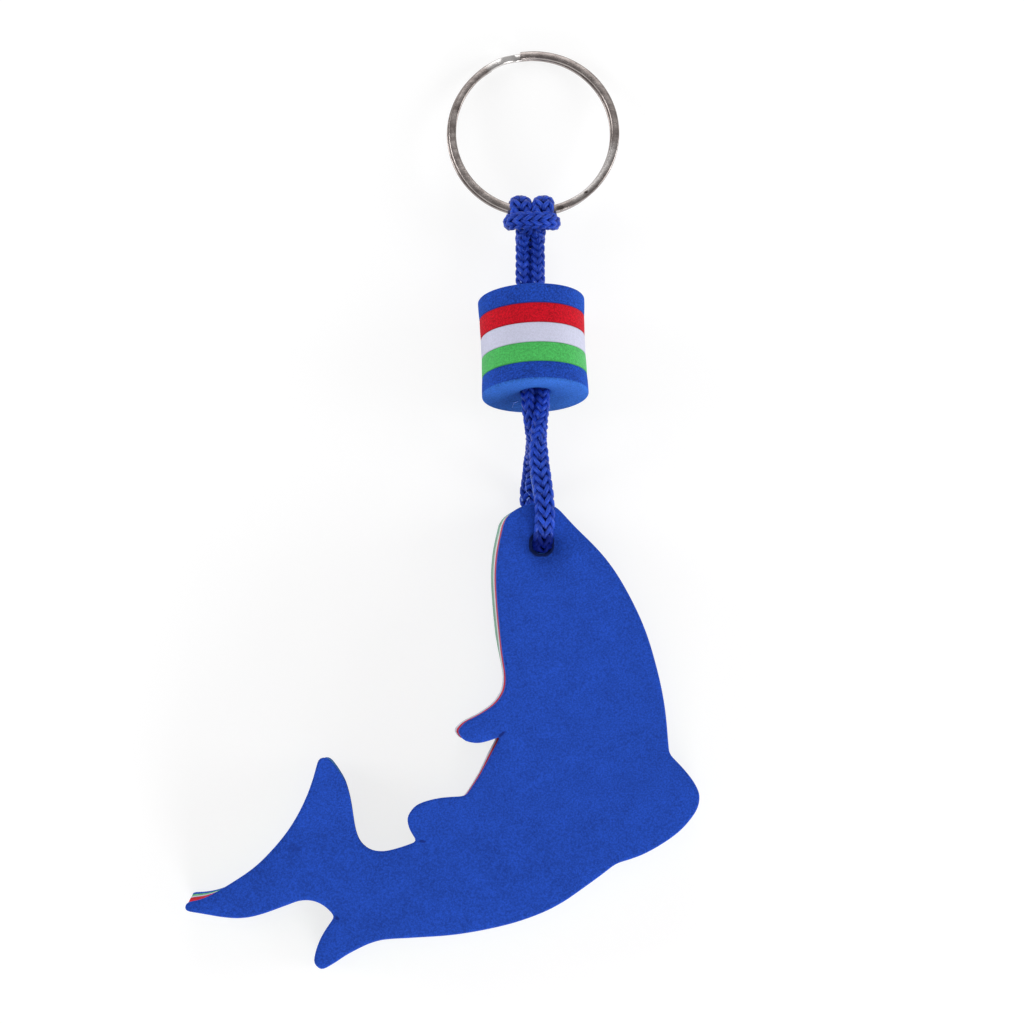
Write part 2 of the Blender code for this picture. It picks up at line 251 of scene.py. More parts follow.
def foamMaterial(colourName):
    base, dark, pale, speckle, slant = foamColours[colourName]
    material, nodes, shader = newMaterial("foam_" + colourName)
    place = nodes.place()
    grain = nodes.share(nodes.noise(place, foamLook["grain"], 2.0, 0.6), 0.35, 0.65)
    coarse = nodes.share(nodes.noise(place, foamLook["coarseGrain"], 2.0, 0.6), 0.36, 0.64)
    mottle = nodes.share(nodes.noise(place, foamLook["mottle"], 3.0, 0.6), 0.3, 0.7)
    cells = nodes.add("ShaderNodeTexVoronoi", None, {
        "Vector": place, "Scale": foamLook["poreSpacing"], "Randomness": 1.0})
    cellPick = nodes.add("ShaderNodeSeparateColor", None, {"Color": cells["Color"]})["Red"]
    pore = nodes.share(cells["Distance"], foamLook["poreSize"], 0.0, "SMOOTHSTEP")
    pore = pore * nodes.maths("POWER", cellPick, 3.0)
    cut = nodes.attribute("cut")
    lift = (coarse * 0.7 + grain * 0.3 - 0.5) * (1.0 + cut * 0.6) + (mottle - 0.5) * 0.3
    colour = mixColours(nodes, nodes.attribute("pale"), base, pale)
    colour = nodes.scaled(colour, lift * (2.0 * speckle) + 1.0)
    colour = mixColours(nodes, pore * (0.62 + cut * 0.2), colour, dark)
    if colourName == "blue":
        colour = mixColours(nodes, markMask(nodes, place, nicks, layout["hole"]), colour, dark)
    # the glue line between two sheets is a little soiled, and the foam round the hole's mouth gets
    # painted shade
    soiling = nodes.attribute("glueLine") * (0.25 + coarse * 0.5)
    colour = mixColours(nodes, soiling, colour, dark)
    colour = mixColours(nodes, nodes.attribute("mouth") * 0.95, colour, foamLook["mouth"])
    height = grain * 0.5 + coarse * 0.5 - pore * 0.9 + mottle * 0.8
    bump = nodes.bump(1.0, foamLook["bump"], height)
    keep(shader, {
        "Roughness": foamLook["roughness"], "Specular IOR Level": foamLook["specular"],
        "Sheen Weight": slant, "Sheen Tint": (*pale, 1.0)})
    plug(nodes, shader, {"Base Color": colour, "Normal": bump})
    return material


# Fish block

fish = {
    "sheets": ["back_blue", "green", "white", "red", "front_blue"],
    "colours": ["blue", "green", "white", "red", "blue"],
    "thickness": 3.5 * mm,
    "glue": 0.06 * mm,
    "holeRadius": 1.85 * mm,
    "taper": 0.4 * mm,
    "pitchLift": 1.8 * mm,
    "roll": 0.0018 / mm,
    "rollLine": 28.0 * mm,
    "bendLength": 52.0 * mm,
    "bendEase": 0.12,
    "leanFade": 4.0 * mm,
    "lean": 0.113,            # slope of the cut wall at the head, to the left
    "leanSpan": 35.5 * mm,    # from the roll line, where the slope is as given
    "leanTop": (3.5, 7.2),    # where it fades out, in millimetres up, down and to the left
    "leanFoot": (-52, -36),
    "leanLeft": (-24, -16),
    "headSteps": [1.0, 1.0, 0.78, 0.95, -0.6],   # how far each sheet leans, from the front
    "bellySteps": [1.0, 1.1, 0.85, -0.7, -1.0],
    "belly": (16, 25),        # how far below the hole the belly's steps take over
    "paleFade": (-26, -16),   # where the leaning walls beside the head turn pale
    "paleLeast": 0.25,
    "paleLean": 0.06,
    "tailLean": 0.03,         # slope at the tail, away from the head
    "tail": (30, 52),
    "tailPeel": (-61.3, -64.3, -61.2, 0.95),   # where the front sheet falls short, how far
    "edgeInset": 0.42 * mm,   # how far in the soft edge starts
    "edgeDrop": 0.38 * mm,
    "glueDrop": 0.1 * mm,
    "hollow": 0.22 * mm,      # how far the die leaves the middle of the wall in
    "bulge": 0.05 * mm,
    "holeInset": 0.6 * mm,
    "holeDrop": 0.7 * mm,
    "holeGrip": 0.7 * mm,     # how far the foam closes in on the cord inside the hole
    "holeDip": 1.1 * mm,
    "holeDipReach": 2.0 * mm,
    # how far the painted shade round the hole's mouth reaches
    "mouthReach": 0.52 * mm,
    # small differences of the outline from the CAD's: place, shift and reach in millimetres
    "nudges": [
        (-5.5, 4.4, -0.30, 0.34, 2.2), (-37.6, -37.1, -0.2, 0.62, 3.0),
        (-37.9, -73.2, -0.45, -0.4, 3.2), (-61.5, -62.9, -0.35, 0.0, 2.0),
    ],
    "wave": 0.12 * mm,
    "step": 0.55 * mm,
    "grid": 2.6 * mm,
    "cornerTurn": math.radians(38),
}
fish["height"] = 5 * fish["thickness"] + 4 * fish["glue"]


def headLift(x, y):
    # the cord below the head lifts it, most of all at its left edge
    share = max(0.0, (y + fish["bendLength"]) / fish["bendLength"])
    eased = share * share / (share + fish["bendEase"])
    return fish["pitchLift"] * share ** 2 + fish["roll"] * eased * (fish["rollLine"] - x) ** 2


def wallLean(x, y):
    # slope of the wall in x: none at the hole's rim or the tail, little at the head's top
    away = (math.hypot(x, y) - fish["holeRadius"]) / fish["leanFade"]
    fade = within(away, 0, 1) * (1 - 0.65 * within(y / mm, *fish["leanTop"]))
    fade *= within(y / mm, *fish["leanFoot"]) * within(x / mm, *fish["leanLeft"])
    return -fish["lean"] * (fish["rollLine"] - x) / fish["leanSpan"] * fade


def leanDepth(y, depth):
    # the depth below the front face that counts for the lean, sheet by sheet
    pitch = fish["thickness"] + fish["glue"]
    share = within(-y / mm, *fish["belly"])
    total = 0.0
    for index, (head, belly) in enumerate(zip(fish["headSteps"], fish["bellySteps"])):
        step = head + (belly - head) * share
        total += step * min(pitch, max(0.0, depth - pitch * index))
    return total


def peel(flat, height):
    # at the tail's tip the upper edge of the front sheet is cut short of the others
    tipX, lowY, topY, amount = fish["tailPeel"]
    near = math.exp(-((flat.x / mm - tipX) / 5) ** 2) * within(flat.y / mm, lowY, topY)
    share = height / fish["height"]
    return amount * mm * near * (0.7 * within(share, 0.6, 0.0) - within(share, 0.6, 0.8))


def topLoops(name):
    # rims of a CAD sheet's upper face, the longest first
    work = bmesh.new()
    work.from_mesh(bpy.data.objects[name].data)
    bmesh.ops.remove_doubles(work, verts=work.verts, dist=0.00001)
    rims = {}
    for edge in work.edges:
        tilts = sorted(face.normal.z for face in edge.link_faces)
        if len(tilts) == 2 and tilts[1] > 0.8 and abs(tilts[0]) < 0.6:
            for a, b in (tuple(edge.verts), tuple(edge.verts)[::-1]):
                rims.setdefault(a, []).append(b)
    loops = []
    while rims:
        start = next(iter(rims))
        loop = [start]
        here = rims.pop(start)[0]
        while here != start:
            loop.append(here)
            after = [other for other in rims.pop(here) if other != loop[-2]]
            here = after[0]
        loops.append([corner.co.copy() for corner in loop])
    work.free()
    return sorted(loops, key=len, reverse=True)


def curvePoint(a, b, c, d, share):
    return 0.5 * (2 * b + (c - a) * share + (2 * a - 5 * b + 4 * c - d) * share ** 2
                  + (3 * b - a - 3 * c + d) * share ** 3)


def smoothLoop(points, step, cornerTurn):
    # even points round a closed loop, curved between its corners
    count = len(points)
    corners = []
    for index, point in enumerate(points):
        inDirection = point - points[index - 1]
        outDirection = points[(index + 1) % count] - point
        corners.append(inDirection.angle(outDirection) > cornerTurn)
    dense = []
    for index in range(count):
        b, c = points[index], points[(index + 1) % count]
        a = 2 * b - c if corners[index] else points[index - 1]
        d = 2 * c - b if corners[(index + 1) % count] else points[(index + 2) % count]
        dense += [curvePoint(a, b, c, d, part / 8) for part in range(8)]
    return evenLoop(dense, step)


def evenLoop(dense, step):
    closed = dense + dense[:1]
    lengths = [(b - a).length for a, b in zip(closed, closed[1:])]
    total = sum(lengths)
    count = round(total / step)
    even = []
    walked = 0.0
    for a, b, length in zip(closed, closed[1:], lengths):
        while len(even) < count and len(even) * total / count <= walked + length:
            even.append(a.lerp(b, (len(even) * total / count - walked) / length))
        walked += length
    for _ in range(2):  # takes the point off the corners
        even = [(even[i - 1] + 2 * even[i] + even[(i + 1) % count]) / 4 for i in range(count)]
    return even


def outwardNormals(loop):
    area = sum(a.x * b.y - b.x * a.y for a, b in zip(loop, loop[1:] + loop[:1]))
    side = 1 if area > 0 else -1
    normals = []
    for index in range(len(loop)):
        along = loop[(index + 1) % len(loop)] - loop[index - 1]
        normals.append(Vector((along.y, -along.x)).normalized() * side)
    return normals


def fishPlan():
    # flat plan of the fish, measured from its hole: rim, hole rim and points between
    rim = [(point - layout["hole"]).xy for point in topLoops("fish_front_blue_sheet")[0]]
    rim = smoothLoop(rim, fish["step"], fish["cornerTurn"])
    for x, y, pushX, pushY, reach in fish["nudges"]:
        spot = Vector((x, y)) * mm
        push = Vector((pushX, pushY)) * mm
        rim = [point + push * math.exp(-((point - spot).length / (reach * mm)) ** 2)
               for point in rim]
    rimOut = outwardNormals(rim)
    inner = [point - out * fish["edgeInset"] for point, out in zip(rim, rimOut)]
    holeCount = 40
    hole = []
    for index in range(holeCount):
        angle = 2 * math.pi * index / holeCount
        hole.append(Vector((math.cos(angle), math.sin(angle))) * fish["holeRadius"])
    holeOut = [-point.normalized() for point in hole]
    innerHole = [point - out * fish["holeInset"] for point, out in zip(hole, holeOut)]
    points = inner + innerHole
    edges = [(i, (i + 1) % len(inner)) for i in range(len(inner))]
    edges += [(len(inner) + i, len(inner) + (i + 1) % holeCount) for i in range(holeCount)]
    spots = insidePoints(inner)
    ring = list(range(len(inner)))
    made = geometry.delaunay_2d_cdt(points + spots, edges, [ring], 1, 1e-7)
    flat, triangles, origins = made[0], made[2], made[3]
    order = {old[0]: new for new, old in enumerate(origins) if old}
    rimIndex = [order[i] for i in range(len(inner))]
    holeIndex = [order[len(inner) + i] for i in range(holeCount)]
    reach = fish["holeRadius"] + fish["holeInset"] * 0.5
    kept = []
    for triangle in triangles:
        middle = sum((flat[i] for i in triangle), Vector((0, 0))) / 3
        if middle.length > reach:
            turn = (flat[triangle[1]] - flat[triangle[0]]).cross(flat[triangle[2]] - flat[triangle[0]])
            kept.append(triangle if turn > 0 else triangle[::-1])
    return {"points": flat, "triangles": kept, "rims": [
        (rimIndex, rim, rimOut, (fish["edgeInset"], fish["edgeDrop"])),
        (holeIndex, hole, holeOut, (fish["holeInset"], fish["holeDrop"]))]}


def insidePoints(rim):
    # a staggered grid that keeps clear of both rims
    lows = Vector((min(p.x for p in rim), min(p.y for p in rim)))
    highs = Vector((max(p.x for p in rim), max(p.y for p in rim)))
    clear = fish["grid"] * 0.45
    spots = []
    row = 0
    y = lows.y
    while y < highs.y:
        x = lows.x + (row % 2) * fish["grid"] / 2
        while x < highs.x:
            spot = Vector((x, y))
            if insideLoop(spot, rim) and spot.length > fish["holeRadius"] + clear * 2:
                if min((spot - point).length for point in rim) > clear:
                    spots.append(spot)
            x += fish["grid"]
        y += fish["grid"] * 0.87
        row += 1
    for circle in range(3):  # finer rings where the face dips into the hole
        radius = fish["holeRadius"] + fish["holeInset"] + (0.35 + 0.45 * circle) * mm
        for index in range(30):
            angle = 2 * math.pi * (index + circle / 2) / 30
            spots.append(Vector((math.cos(angle), math.sin(angle))) * radius)
    return spots


def insideLoop(spot, loop):
    inside = False
    for a, b in zip(loop, loop[1:] + loop[:1]):
        if (a.y > spot.y) != (b.y > spot.y):
            if spot.x < a.x + (spot.y - a.y) / (b.y - a.y) * (b.x - a.x):
                inside = not inside
    return inside


def fishPoint(flat, out, outward, height):
    depth = fish["height"] - height
    inset = fish["taper"] * depth / fish["height"]
    middle = 1 - (2 * height / fish["height"] - 1) ** 2
    hollow = fish["hollow"]
    if flat.length < fish["holeRadius"] * 1.5:
        inset, hollow = 0.0, -fish["holeGrip"]
    spread = outward - (inset + hollow * middle) * (1 if out.length else 0)
    x = flat.x + out.x * spread + wallLean(flat.x, flat.y) * leanDepth(flat.y, depth)
    y = flat.y + out.y * spread + peel(flat, height)
    y -= fish["tailLean"] * depth * within(-flat.y / mm, *fish["tail"])
    lift = headLift(flat.x, flat.y)
    return layout["hole"] + Vector((x, y, height + lift))


def faceShift(flat, level):
    # dip round the hole and a slight wave, on the outer faces alone
    away = (flat.length - fish["holeRadius"]) / fish["holeDipReach"]
    dip = fish["holeDip"] * math.exp(-max(0.0, away) ** 1.5)
    wave = fish["wave"] * noise.noise(Vector((flat.x, flat.y, level)) / (14 * mm))
    return (wave - dip) * (1 if level == 4 else -0.5)


def sheetSpan(level):
    # lower and upper face of a sheet in its block, each at the middle of its glue line
    low = level * (fish["thickness"] + fish["glue"]) - (fish["glue"] / 2 if level else 0)
    return low, low + fish["thickness"] + fish["glue"] / (1 if 0 < level < 4 else 2)


def wallProfile(level, inset, drop):
    # outward step and height of each ring, from a sheet's upper face down to its lower one
    low, high = sheetSpan(level)
    topDrop = drop if level == 4 else fish["glueDrop"]
    lowDrop = drop if level == 0 else fish["glueDrop"]
    rings = []
    for part in range(1, 5):
        angle = math.pi / 2 * part / 4
        rings.append((math.sin(angle), high - topDrop * (1 - math.cos(angle))))
    for part in range(1, 5):
        share = part / 5
        rings.append((1.0, high - topDrop + (lowDrop + low - high + topDrop) * share))
    for part in range(4, 0, -1):
        angle = math.pi / 2 * part / 4
        rings.append((math.sin(angle), low + lowDrop * (1 - math.cos(angle))))
    shaped = []
    for inward, height in rings:
        share = (height - low) / (high - low)
        bulge = fish["bulge"] * (1 - (2 * share - 1) ** 4)
        shaped.append((inset * (inward - 1) + bulge, height))
    return shaped


def fishSheet(plan, level, material):
    name = "foam_fish_" + fish["sheets"][level]
    low, high = sheetSpan(level)
    work = bmesh.new()
    cut, glueLine, pale, mouth = foamLayers(work)
    still = Vector((0.0, 0.0))
    faces = []
    outs = {}
    for indexes, rim, normals, edge in plan["rims"]:
        outs.update(zip(indexes, normals))
    for height, shows in ((high, level == 4), (low, level == 0)):
        corners = []
        for index, flat in enumerate(plan["points"]):
            place = fishPoint(flat, outs.get(index, still), 0.0, height)
            if shows:
                place.z += faceShift(flat, level)
            corner = work.verts.new(place)
            corner[mouth] = mouthShadeShare(flat) if shows else 0.0
            corners.append(corner)
        faces.append(corners)
    for triangle in plan["triangles"]:
        work.faces.new([faces[0][i] for i in triangle])
        work.faces.new([faces[1][i] for i in reversed(triangle)])
    for indexes, rim, normals, edge in plan["rims"]:
        above = [faces[0][i] for i in indexes]
        rings = wallProfile(level, *edge)
        for step, (outward, height) in enumerate(rings):
            ring = []
            for flat, out, index in zip(rim, normals, indexes):
                place = fishPoint(flat, out, outward, height)
                if level in (0, 4):
                    # the face's shift fades out along the wall
                    near = 1 - step / 5 if level == 4 else (step - len(rings) + 6) / 6
                    place.z += faceShift(plan["points"][index], level) * within(near, 0, 1)
                corner = work.verts.new(place)
                corner[cut] = min(1.0, step / 3, (len(rings) - 1 - step) / 3)
                corner[mouth] = mouthShadeShare(flat)
                if 0 < level < 4 and edge[0] == fish["edgeInset"]:
                    # the walls are paler where they lean out most
                    leanShare = within(-wallLean(flat.x, flat.y), 0, fish["paleLean"])
                    fade = max(fish["paleLeast"], within(flat.y / mm, *fish["paleFade"]))
                    corner[pale] = leanShare * fade
                atTop = level < 4 and step == 3
                atFoot = level > 0 and step == len(rings) - 4
                corner[glueLine] = 1.0 if atTop or atFoot else 0.0
                ring.append(corner)
            stitchRings(work, above, ring)
            above = ring
        stitchRings(work, above, [faces[1][i] for i in indexes])
    bmesh.ops.recalc_face_normals(work, faces=work.faces)
    return finishMesh(work, name, material, 35)


def foamLayers(work):
    return [work.verts.layers.float.new(name) for name in ("cut", "glueLine", "pale", "mouth")]


# share of painted shade on the foam round the hole's mouth, by its distance from the hole
def mouthShadeShare(flat):
    away = (flat.length - fish["holeRadius"] + 0.1 * mm) / fish["mouthReach"]
    return math.exp(-max(0.0, away) ** 2)


def stitchRings(work, above, below):
    count = len(above)
    for i in range(count):
        j = (i + 1) % count
        work.faces.new([above[i], above[j], below[j], below[i]])


def finishMesh(work, name, material, sharpDegrees):
    mesh = bpy.data.meshes.new(name)
    work.to_mesh(mesh)
    work.free()
    mesh.shade_smooth()
    mesh.set_sharp_from_angle(angle=math.radians(sharpDegrees))
    mesh.materials.append(material)
    return addObject(name, mesh)


# Float

floatBlock = {
    "radius": 9.3 * mm,
    "boreRadius": 2.6 * mm,
    "flare": 0.28 * mm,       # the ends stand this much wider than the waist
    "edge": 0.42 * mm,
    "glueEdge": 0.08 * mm,
    "lip": 0.25 * mm,
    "paleEnd": (-20, -9),     # painted light on the end towards the fish, strongest near the table
    "mouthDip": 0.75 * mm,
    "mouthReach": 3.2 * mm,
    "segments": 144,
}
floatBlock["length"] = fish["height"]


def floatMatrix():
    turn = Matrix.Rotation(layout["floatYaw"], 4, "Z")
    tip = Matrix.Rotation(-math.pi / 2 - layout["floatPitch"], 4, "X")
    return Matrix.Translation(layout["floatMiddle"]) @ turn @ tip


def floatRadius(height):
    share = 2 * height / floatBlock["length"]
    return floatBlock["radius"] - floatBlock["flare"] * (1 - share ** 2)


def faceHeight(radius, end):
    # height of an outer end face, which sinks towards the bore
    away = (radius - floatBlock["boreRadius"]) / floatBlock["mouthReach"]
    return end - math.copysign(floatBlock["mouthDip"] * math.exp(-(away * 1.4) ** 2), end)


def discProfile(level):
    # radius, height, cut share and glue line share of each ring, from the bore and back to it
    low, high = (height - floatBlock["length"] / 2 for height in sheetSpan(level))
    bore, lipSize = floatBlock["boreRadius"], floatBlock["lip"]
    profile = []
    for height, outer in ((low, level == 0), (high, level == 4)):
        edge = floatBlock["edge"] if outer else floatBlock["glueEdge"]
        inward = 1 if height == low else -1
        side = []
        parts = 7 if outer else 2
        for part in range(parts + 1):
            angle = math.pi / 2 * part / parts
            middle = height + inward * edge
            radius = floatRadius(middle) - edge * (1 - math.sin(angle))
            rise = height + inward * edge * (1 - math.cos(angle))
            share = 0.0 if outer else 1.0
            side.append((radius, rise, share, share))
        face = []
        reach = 9 if outer else 1
        for part in range(reach + 1):
            radius = bore + lipSize + (side[0][0] - bore - lipSize) * part / (reach + 1)
            face.append((radius, faceHeight(radius, height) if outer else height, 0.0, 0.0))
        lip = (bore, face[0][1] + inward * lipSize, 0.0, 0.0)
        profile.append([lip] + face + side)
    lowRow, highRow = profile
    walls = []
    start, end = lowRow[-1][1], highRow[-1][1]
    for share in (0.05, 0.2, 0.4, 0.6, 0.8, 0.95):
        height = start + (end - start) * share
        bulge = 0.04 * mm * math.sin(math.pi * share)
        walls.append((floatRadius(height) + bulge, height, 1.0, 0.0))
    return lowRow + walls + highRow[::-1]


def floatDisc(level, material):
    work = bmesh.new()
    cut, glueLine, pale = foamLayers(work)[:3]
    place = floatMatrix()
    rings = []
    for radius, height, cutShare, lineShare in discProfile(level):
        ring = []
        for index in range(floatBlock["segments"]):
            angle = 2 * math.pi * index / floatBlock["segments"]
            round3d = Vector((math.cos(angle), math.sin(angle), height / (9 * mm)))
            wobble = 0.06 * mm * noise.noise(round3d * 1.3) * (radius / floatBlock["radius"]) ** 2
            spot = Vector((math.cos(angle), math.sin(angle), 0)) * (radius + wobble)
            corner = work.verts.new(place @ (spot + Vector((0, 0, height))))
            corner[cut] = cutShare
            corner[glueLine] = lineShare
            # painted light: the end face towards the fish is drawn paler, most of all near the table
            if level == 0:
                low = within(-corner.co.z / mm, *floatBlock["paleEnd"])
                corner[pale] = (1.0 - max(cutShare, lineShare)) * (0.85 + 0.15 * low)
            ring.append(corner)
        rings.append(ring)
    for near, far in zip(rings, rings[1:] + rings[:1]):
        stitchRings(work, near, far)
    bmesh.ops.recalc_face_normals(work, faces=work.faces)
    return finishMesh(work, "foam_float_" + fish["sheets"][level], material, 50)


def makeFoam():
    materials = {name: foamMaterial(name) for name in foamColours}
    plan = fishPlan()
    for level, sheet in enumerate(fish["sheets"]):
        material = materials[fish["colours"][level]]
        block = fishSheet(plan, level, material)
        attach(block, "fish")
        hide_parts(f"fish_{sheet}_sheet")
        disc = floatDisc(level, material)
        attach(disc, "float")
        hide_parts(f"float_{sheet}_disc")
    print("foam sheets and discs made")


# Split ring

ringLook = {
    "diameter": 29.8 * mm,
    "width": 1.3 * mm,
    "thickness": 0.95 * mm,
    "corner": 0.22 * mm,
    "coilGap": 0.1 * mm,
    "coilOffset": 0.17 * mm,
    "shiftX": 0.22 * mm,
    "startAngle": math.radians(99.3),
    "joggle": math.radians(17),
    "endGap": math.radians(5),
    "stepAngle": math.radians(1.6),
}


def wireHeight(turned):
    top = (ringLook["thickness"] + ringLook["coilGap"]) / 2
    return top * math.cos(math.pi * within(turned, 2 * math.pi - ringLook["joggle"], 2 * math.pi))


def wireSection():
    # the rounded flat wire, seen along its length
    halfWidth, halfHeight = ringLook["width"] / 2, ringLook["thickness"] / 2
    corner = ringLook["corner"]
    section = []
    for quarter in range(4):
        centre = Vector(((halfWidth - corner) * (1 if quarter in (0, 3) else -1),
                         (halfHeight - corner) * (1 if quarter < 2 else -1)))
        for part in range(5):
            angle = math.pi / 2 * (quarter + part / 4)
            section.append(centre + Vector((math.cos(angle), math.sin(angle))) * corner)
    return section


def makeRing():
    radius = ringLook["diameter"] / 2 - ringLook["width"] / 2
    top = wireHeight(0.0)
    total = 4 * math.pi - ringLook["joggle"] - ringLook["endGap"]
    count = round(total / ringLook["stepAngle"])
    place = Matrix.Translation(layout["hitch"] + Vector((ringLook["shiftX"], 0, 0)))
    place = place @ Matrix.Rotation(-layout["ringPitch"], 4, "X")
    work = bmesh.new()
    lengthwise = work.verts.layers.float.new("lengthwise")
    section = wireSection()
    rings = []
    for step in range(count + 1):
        turned = total * step / count
        angle = ringLook["startAngle"] - turned
        height = wireHeight(turned)
        ring = []
        for spot in section:
            reach = radius + spot.x
            x = reach * math.cos(angle) + ringLook["coilOffset"] * height / top
            y = reach * math.sin(angle) + radius
            corner = work.verts.new(place @ Vector((x, y, height + spot.y)))
            corner[lengthwise] = turned * radius
            ring.append(corner)
        rings.append(ring)
    for near, far in zip(rings, rings[1:]):
        stitchRings(work, near, far)
    work.faces.new(rings[0])
    work.faces.new(rings[-1])
    bmesh.ops.recalc_face_normals(work, faces=work.faces)
    piece = finishMesh(work, "split_ring_wire", nickelMaterial(), 32)
    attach(piece, "ring")
    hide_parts("split_ring")
    print("split ring made")


nickelLook = {
    "light": (0.47, 0.42, 0.40),
    "base": (0.215, 0.18, 0.17),
    "dark": (0.07, 0.055, 0.05),
    # colour of the painted highlights on the wire
    "polished": (0.80, 0.78, 0.77),
    "roughness": 0.14,
    "streaks": (90.0, 5200.0, 300.0),   # how fine each pattern is, a metre
    "blotches": 420.0,
    "scuffs": 1500.0,
    "bump": 0.04 * mm,
}

# dark marks on the ring, given as the nicks are but from the middle of the hitch
ringMarks = [
    ((9.45, 3.5), (0.9, 0.45), 0.42, 0.24, 1.0),
    ((5.0, 0.7), (1.0, 0.35), 0.8, 0.5, 0.8),
    ((-4.85, 24.6), (0.95, 0.3), 0.5, 0.3, 0.5),
]
# a painted highlight along one stretch of the ring where its flat face is lit
ringHighlight = [((10.9, 7.0), (0.6, 0.8), 6.5, 1.6, 0.55)]


def nickelMaterial():
    material, nodes, shader = newMaterial("brushed_nickel")
    along = nodes.attribute("lengthwise")
    place = nodes.place()
    apart = nodes.split(place)
    lengthScale, heightScale, sideScale = nickelLook["streaks"]
    streakPlace = nodes.join(along * lengthScale, apart["Z"] * heightScale, apart["X"] * sideScale)
    streaks = nodes.noise(streakPlace, 1.0, 5.0, 0.6)
    blotch = nodes.noise(place, nickelLook["blotches"], 4.0, 0.6)
    # the brushed streaks and blotches are the wire's own finish; their strong light and dark contrast
    # also stands in for painted reflections
    shade = nodes.share(streaks * 0.5 + blotch * 0.5, 0.36, 0.64)
    spots = nodes.share(nodes.noise(place, nickelLook["scuffs"], 3.0, 0.7), 0.64, 0.74)
    colour = mixColours(nodes, shade, nickelLook["base"], nickelLook["light"])
    colour = mixColours(nodes, spots * 0.75, colour, nickelLook["dark"])
    # painted highlight where the wire bends between the two coils and its tilt catches the light
    turned = along / (ringLook["diameter"] / 2 - ringLook["width"] / 2)
    fromBend = nodes.maths("ABSOLUTE", turned - 2 * math.pi + ringLook["joggle"] * 0.7)
    bendHighlight = nodes.share(fromBend, ringLook["joggle"] * 0.95, ringLook["joggle"] * 0.55, "SMOOTHSTEP")
    # painted highlight on that lit stretch
    highlightPatch = markMask(nodes, place, ringHighlight, layout["hitch"])
    colour = mixColours(nodes, bendHighlight * 0.75 + highlightPatch, colour, nickelLook["polished"])
    marks = markMask(nodes, place, ringMarks, layout["hitch"])
    colour = mixColours(nodes, marks, colour, nickelLook["dark"])
    height = streaks * 0.5 + blotch * 0.9 - spots * 0.4
    keep(shader, {"Metallic": 1.0})
    plug(nodes, shader, {
        "Base Color": colour, "Roughness": nickelLook["roughness"] + blotch * 0.2 + spots * 0.2,
        "Normal": nodes.bump(0.7, nickelLook["bump"], height)})
    return material


# Cord

cordLook = {
    "spacing": 2.3 * mm,
    "jointGap": 0.3 * mm,
    "pairDrift": -0.28 * mm,
    "twist": math.pi / 4,    # half a stitch, which turns the other strand's stitches
    "twistShares": (0.25, 1 / 3),   # where along the cord it turns
}
# the knit, where a wale is a row of stitches along the cord and a course one round it
knitInputs = {
    "Stitches": 400,         # worked out again from the cord's length
    "Stitch Points": 16,
    "Wales": 4,
    "Course Samples": 8,
    "Loop Height": 0.68,     # of a course, above and below the middle
    "Sway": 0.31,            # of a stitch's width
    "Depth": 0.24 * mm,      # how far the loops' heads lie behind their legs
    "Uneven": 0.12,
    "Yarn Radius": 0.41 * mm,
    "Yarn Sides": 8,
}

# Half of the hitch, from the float to the middle of its bar, in millimetres from the ring's
# pivot: each point with the way its flat side faces and its shape. Up to 0.9 mm from the CAD
# cord's route at the corners.
hitchHalf = [
    ((-1.22, -11.5, -0.2), (1, 0, 0), "pair"), ((-1.22, -8.2, -1.05), (1, 0, 0), "pair"),
    ((-1.22, -5.4, -1.15), (1, 0, 0), "pair"), ((-1.22, -3.6, -0.35), (0.9, 0.3, -0.3), "pair"),
    ((-1.4, -2.45, 0.9), (0.3, 0.6, -0.7), "lobe"), ((-1.7, -1.3, 2.1), (0, 0.5, -0.85), "lobe"),
    ((-1.87, 0.1, 2.45), (0, -0.1, -1), "lobe"), ((-1.93, 1.4, 1.72), (0, -0.7, -0.7), "lobe"),
    ((-2.0, 1.98, 0.1), (0, -1, 0), "crown"), ((-2.4, 1.5, -1.7), (0, -0.7, 0.7), "crown"),
    ((-2.85, 0.1, -2.45), (0, 0, 1), "turn"), ((-3.3, -1.2, -2.0), (0.3, 0.6, 0.7), "turn"),
    ((-3.72, -1.85, -0.6), (0.8, 0.3, 0.4), "turn"), ((-3.9, -1.9, 1.2), (1, 0.1, 0), "turn"),
    ((-3.5, -1.75, 2.95), (0.8, 0, -0.6), "bar"), ((-2.2, -1.6, 4.12), (0.3, 0, -0.95), "bar"),
    ((0.0, -1.6, 4.5), (0, 0, -1), "bar"),
]
frontStrand = [
    ((-0.1, 22.5, 15.2), (1, 0, 0), "pair"), ((-0.45, 19.0, 16.95), (0.8, 0.3, 0.5), "pair"),
    ((-0.5, 15.5, 19.15), (0.3, 0.5, 0.8), "free"), ((-0.15, 12.0, 21.25), (0, 0.5, 0.85), "free"),
    ((0.3, 9.0, 22.65), (0, 0.25, 1), "free"), ((0.5, 6.5, 23.15), (0, 0, 1), "free"),
    ((0.55, 4.2, 23.1), (0, -0.1, 1), "free"), ((0.45, 2.4, 22.7), (0, -0.3, 0.95), "free"),
    ((0.3, 1.0, 21.85), (0, -0.7, 0.7), "free"), ((0.15, 0.1, 20.5), (0, -1, 0.1), "hole"),
    ((0.0, 0.0, 18.75), (0, -1, 0), "hole"), ((0.0, 0.0, 13.0), (0, -1, 0), "hole"),
    ((0.0, 0.0, 8.0), (0, -1, 0), "hole"),
]
